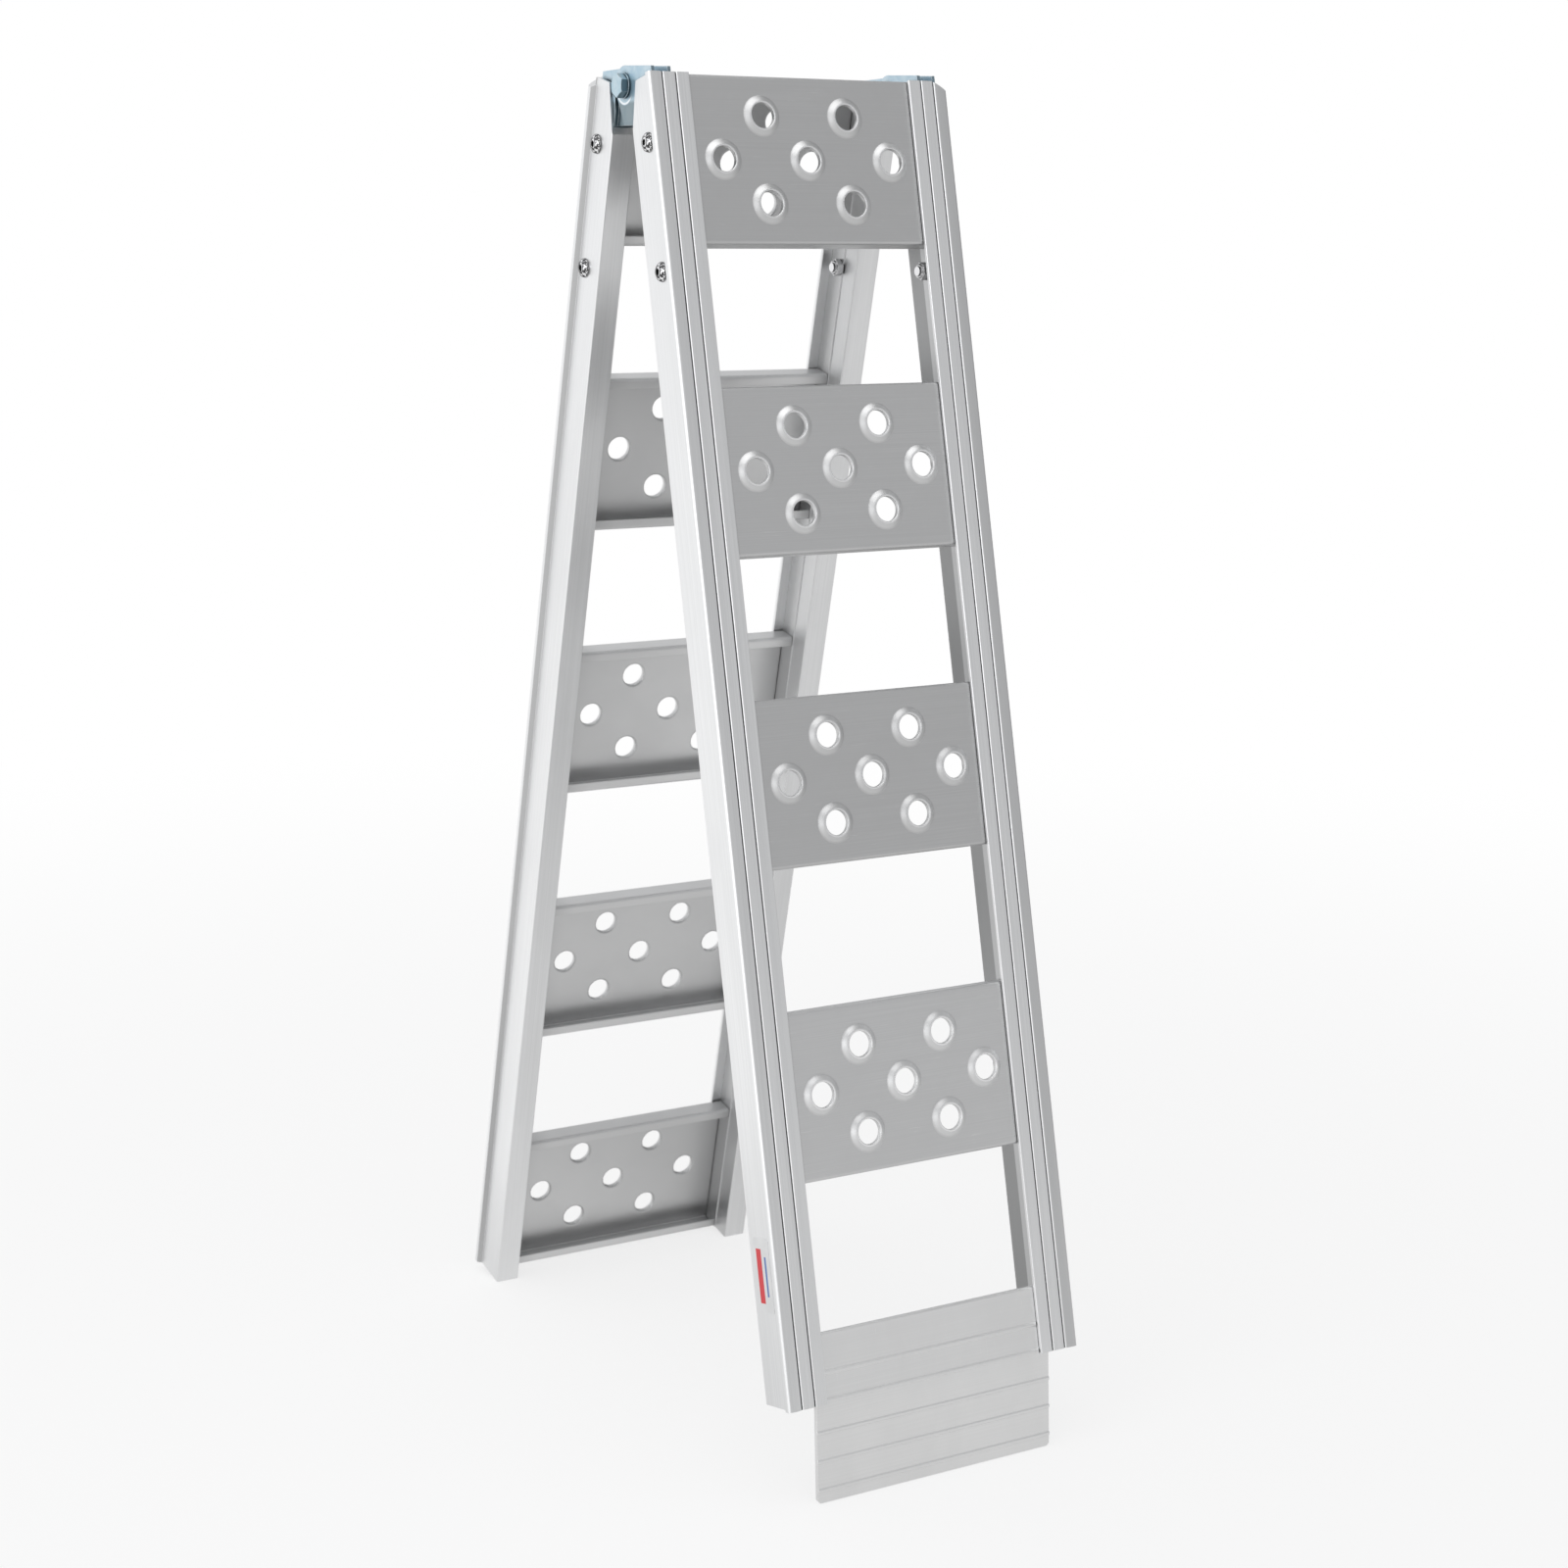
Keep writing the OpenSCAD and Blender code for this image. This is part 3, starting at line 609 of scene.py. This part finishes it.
def add_panel(shell, y, hole_radius_mm):
    """Flat panel between the folds, with the holes cut out."""
    border = [(x, -FLAT_HALF) for x in XS] + [(TREAD_HALF, z) for z in ZS[1:]]
    border += [(x, FLAT_HALF) for x in reversed(XS[:-1])]
    border += [(-TREAD_HALF, z) for z in reversed(ZS[1:-1])]
    points = []
    edges = []
    for loop in [border] + [hole_circle(x, z, hole_radius_mm) for x, z in HOLES]:
        first = len(points)
        count = len(loop)
        points += loop
        edges += [(first + i, first + (i + 1) % count) for i in range(count)]
    clearance = (hole_radius_mm + 2.2) * MM
    points += [(x, z) for x in XS[1:-1] for z in ZS[1:-1] if not near_hole(x, z, clearance)]
    places, _, triangles, *_ = delaunay_2d_cdt([Vector(p) for p in points], edges, [], 1, 1e-7)
    for triangle in triangles:
        middle_x = sum(places[i][0] for i in triangle) / len(triangle)
        middle_z = sum(places[i][1] for i in triangle) / len(triangle)
        if not near_hole(middle_x, middle_z, hole_radius_mm * MM * 0.9985):
            shell.face([shell.vert(places[i][0], y, places[i][1]) for i in triangle])


def add_flare(shell, hole):
    rings = [[shell.vert(x, height * MM, z) for x, z in hole_circle(*hole, radius)]
             for radius, height in FLARE]
    for first, second in zip(rings, rings[1:]):
        shell.strip(first + first[:1], second + second[:1])


def fold_path(radius, tip_start, tip_turn):
    """(y, z) points from the panel round both bends to the return lip's edge."""
    bends = [math.pi / 2 * k / BEND_STEPS for k in range(BEND_STEPS + 1)]
    tips = [math.pi / 2 * k / TIP_STEPS for k in range(TIP_STEPS + 1)]
    lip_end = TREAD_LENGTH / 2 - SHEET - RETURN_LIP
    path = [(-BEND + radius * math.cos(a), FLAT_HALF + radius * math.sin(a)) for a in bends]
    path += [(-TREAD_DEPTH + BEND - radius * math.sin(a), FLAT_HALF + radius * math.cos(a))
             for a in bends]
    return path + [(tip_start + tip_turn * math.cos(a),
                    lip_end + TIP_ROUND - TIP_ROUND * math.sin(a)) for a in tips]


def add_fold(shell, side):
    """Folded edge with its return lip, at the +Z or -Z side of the tread."""
    outer = fold_path(BEND, -TREAD_DEPTH + TIP_ROUND, -TIP_ROUND)
    inner = fold_path(BEND - SHEET, -TREAD_DEPTH + SHEET - TIP_ROUND, TIP_ROUND)

    def column(x, path):
        return [shell.vert(x, y, side * z) for y, z in path]

    for path in (outer, inner):
        columns = [column(x, path) for x in XS]
        for first, second in zip(columns, columns[1:]):
            shell.strip(first, second)
    lip_edges = [[column(x, path[-1:])[0] for x in XS] for path in (outer, inner)]
    shell.strip(*lip_edges)
    for x in (-TREAD_HALF, TREAD_HALF):
        shell.strip(column(x, outer), column(x, inner))


def tread_mesh():
    shell = Shell()
    add_panel(shell, 0.0, FLARE[0][0])
    add_panel(shell, -SHEET, FLARE[-1][0])
    for hole in HOLES:
        add_flare(shell, hole)
    for side in (-1, 1):
        add_fold(shell, side)
    for x in (-TREAD_HALF, TREAD_HALF):
        shell.strip([shell.vert(x, 0.0, z) for z in ZS], [shell.vert(x, -SHEET, z) for z in ZS])
    bm = shell.bm
    bmesh.ops.remove_doubles(bm, verts=bm.verts, dist=1e-7)
    bmesh.ops.recalc_face_normals(bm, faces=bm.faces)
    for face in bm.faces:
        face.smooth = True
    mesh = bpy.data.meshes.new("tread_pressing")
    bm.to_mesh(mesh)
    bm.free()
    mesh.set_sharp_from_angle(angle=math.radians(40))
    mesh.materials.append(materials["tread"])
    place = mesh.attributes.new("tread_place", "FLOAT_VECTOR", "POINT")
    for i, vertex in enumerate(mesh.vertices):
        place.data[i].vector = vertex.co
    return mesh


def add_object(name, data):
    made = bpy.data.objects.new(name, data)
    scene.collection.objects.link(made)
    return made


FACE_OUT = 0.0404                       # tread face from the section's origin plane
FIRST_TREAD = 0.068                     # first tread's middle, down from the section's origin
TREAD_PITCH = 0.250
# painted light: brightness of each tread as the light falls on it, from the pivot down
TONES = {"front": (0.99, 1.06, 1.01, 1.16), "rear": (1.0, 1.006, 1.03, 0.99, 0.88)}

pressing = tread_mesh()
for part, tones in TONES.items():
    for i, tone in enumerate(tones):
        node = f"tread_{part}_{i + 1}"
        mesh = pressing.copy()
        mesh.name = f"{node}_pressing"
        values = mesh.attributes.new("tread_tone", "FLOAT", "POINT")
        values.data.foreach_set("value", [tone] * len(mesh.vertices))
        tread = add_object(f"{node}_pressing", mesh)
        down = FIRST_TREAD + TREAD_PITCH * i
        tread.matrix_world = SECTION[part] @ Matrix.Translation((0, FACE_OUT, -down))
        weight_normals(tread)
        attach(tread, BODY[part])
        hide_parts(node)

# ------------------------------------------------------------------ stage: world, floor, light
WHITE = (1, 1, 1)
WORLD_BASE = 0.56
WORLD_MINIMUM = 0.03
# direction, cosines where the lobe starts and is full, brightness added;
# left, right and behind are as the camera sees them
WORLD_LOBES = [
    ((-0.5, 0.86, 0.05), (0.45, 0.95), 0.42),      # behind on the left
    ((-0.93, -0.36, 0.1), (0.72, 0.97), 1.35),     # left
    ((0.87, 0.49, -0.05), (0.70, 0.98), -0.46),    # behind on the right: dark
    ((0.5, 0.667, 0.548), (0.88, 0.99), 0.22),     # high behind
    ((0.35, 0.1, 0.93), (0.75, 1.0), -0.22),       # overhead: dimmer
]
FLOOR_BASE = 0.66
FLOOR_LOBES = [
    ((-0.5, 0.86), (0.30, 0.95), 0.30),            # behind on the left
    ((-0.93, -0.36), (0.55, 0.97), 0.30),          # left
    ((0.54, -0.84), (0.55, 0.97), 0.05),           # right
    ((0.85, 0.5), (0.45, 0.97), -0.36),            # behind on the right: dark
]


def build_world():
    """Uneven studio surround; the camera itself sees plain white."""
    scene.world = bpy.data.worlds.new("studio")
    g = Graph(scene.world, "ShaderNodeOutputWorld")
    direction = g.coords()["Generated"]

    def joined(operation, first, second):
        return g.node("ShaderNodeMath", {0: first, 1: second}, operation=operation).outputs[0]

    strength = WORLD_BASE
    for towards, over, amount in WORLD_LOBES:
        facing = g.dot(direction, Vector(towards).normalized())
        strength = joined("ADD", strength, g.ramp(facing, over, to=(0.0, amount)))
    strength = joined("MAXIMUM", strength, WORLD_MINIMUM)
    surround = g.node("ShaderNodeBackground", {0: (0.985, 0.99, 1.0), 1: strength})
    backdrop = g.node("ShaderNodeBackground", {0: WHITE, 1: 1.0})
    by_camera = g.node("ShaderNodeLightPath").outputs["Is Camera Ray"]
    g.end(g.node("ShaderNodeMixShader",
                 {0: by_camera, 1: surround.outputs[0], 2: backdrop.outputs[0]}))


def floor_material():
    g = material_graph("floor_pale")
    diffuse = g.node("ShaderNodeBsdfDiffuse", {0: (0.92, 0.92, 0.92)})
    position = g.node("ShaderNodeNewGeometry").outputs["Position"]
    flat = g.scaled(position, (1, 1, 0))
    distance = g.vector_math("LENGTH", flat).outputs["Value"]
    heading = g.vector_math("NORMALIZE", flat).outputs[0]
    y = g.split(position)[1]
    glow = FLOOR_BASE
    for i, (towards, over, amount) in enumerate(FLOOR_LOBES):
        facing = g.dot(heading, Vector(towards + (0,)).normalized())
        # the first lobe grows towards +Y, the others away from the middle
        if i == 0:
            reach = g.ramp(y, over=(-0.1, 0.75))
        else:
            reach = g.ramp(distance, over=(0.1, 0.7))
        glow = g.plus(g.times(g.ramp(facing, over, to=(0.0, amount)), reach), glow)
    # the metal mirrors an uneven glow; the camera sees white, shadowed near the ramp
    mirrored = g.node("ShaderNodeEmission", {"Strength": glow})
    white = g.node("ShaderNodeEmission", {"Color": WHITE})
    by_camera = g.node("ShaderNodeLightPath").outputs["Is Camera Ray"]
    fade = g.ramp(distance, over=(0.5, 3.0), to=(0.74, 1.0))
    shown = g.node("ShaderNodeMixShader",
                   {0: fade, 1: diffuse.outputs[0], 2: white.outputs[0]})
    g.end(g.node("ShaderNodeMixShader",
                 {0: by_camera, 1: mirrored.outputs[0], 2: shown.outputs[0]}))
    return g.owner


def build_floor():
    mesh = bpy.data.meshes.new("floor")
    bm = bmesh.new()
    bmesh.ops.create_grid(bm, x_segments=1, y_segments=1, size=30)
    bm.to_mesh(mesh)
    bm.free()
    floor = add_object("floor", mesh)
    floor.location = (0, 0, -0.0002)
    mesh.materials.append(floor_material())


def emit_panel(name, centre, target, side, strength):
    """Square glowing panel turned to the target, unseen by the camera."""
    half = side / 2
    mesh = bpy.data.meshes.new(name)
    corners = [(-half, -half, 0), (half, -half, 0), (half, half, 0), (-half, half, 0)]
    mesh.from_pydata(corners, [], [(0, 1, 2, 3)])
    panel = add_object(name, mesh)
    turn = (Vector(target) - Vector(centre)).to_track_quat("Z", "Y").to_matrix().to_4x4()
    panel.matrix_world = Matrix.Translation(centre) @ turn
    g = material_graph(name)
    g.end(g.node("ShaderNodeEmission", {"Color": WHITE, "Strength": strength}))
    mesh.materials.append(g.owner)
    panel.visible_camera = False


build_world()
build_floor()
emit_panel("panel_top", centre=(-0.6, -0.4, 3.6), target=(0, 0, 0.5), side=3.0, strength=1.7)

# ------------------------------------------------------------------ camera
CAMERA_PLACE = (-1.20612, -2.08341, 1.01325)
YAW, PITCH, ROLL = (math.radians(angle) for angle in (30.60, 11.55, 0.59))


def build_camera():
    forward = Vector((math.sin(YAW) * math.cos(PITCH), math.cos(YAW) * math.cos(PITCH),
                      -math.sin(PITCH)))
    level = Vector((math.cos(YAW), -math.sin(YAW), 0))
    upright = level.cross(forward)
    right = level * math.cos(ROLL) + upright * math.sin(ROLL)
    up = upright * math.cos(ROLL) - level * math.sin(ROLL)
    lens = bpy.data.cameras.new("camera")
    lens.lens = 64.8765
    lens.sensor_width = 36
    lens.clip_start = 0.05
    lens.clip_end = 100
    lens.dof.use_dof = True
    lens.dof.focus_distance = 2.25
    lens.dof.aperture_fstop = 10.0
    camera = add_object("camera", lens)
    rows = [row for row in zip(right, up, -forward, CAMERA_PLACE)]
    camera.matrix_world = Matrix(rows + [(0, 0, 0, 1)])
    scene.camera = camera


build_camera()
scene.view_settings.view_transform = "Standard"
scene.view_settings.look = "None"
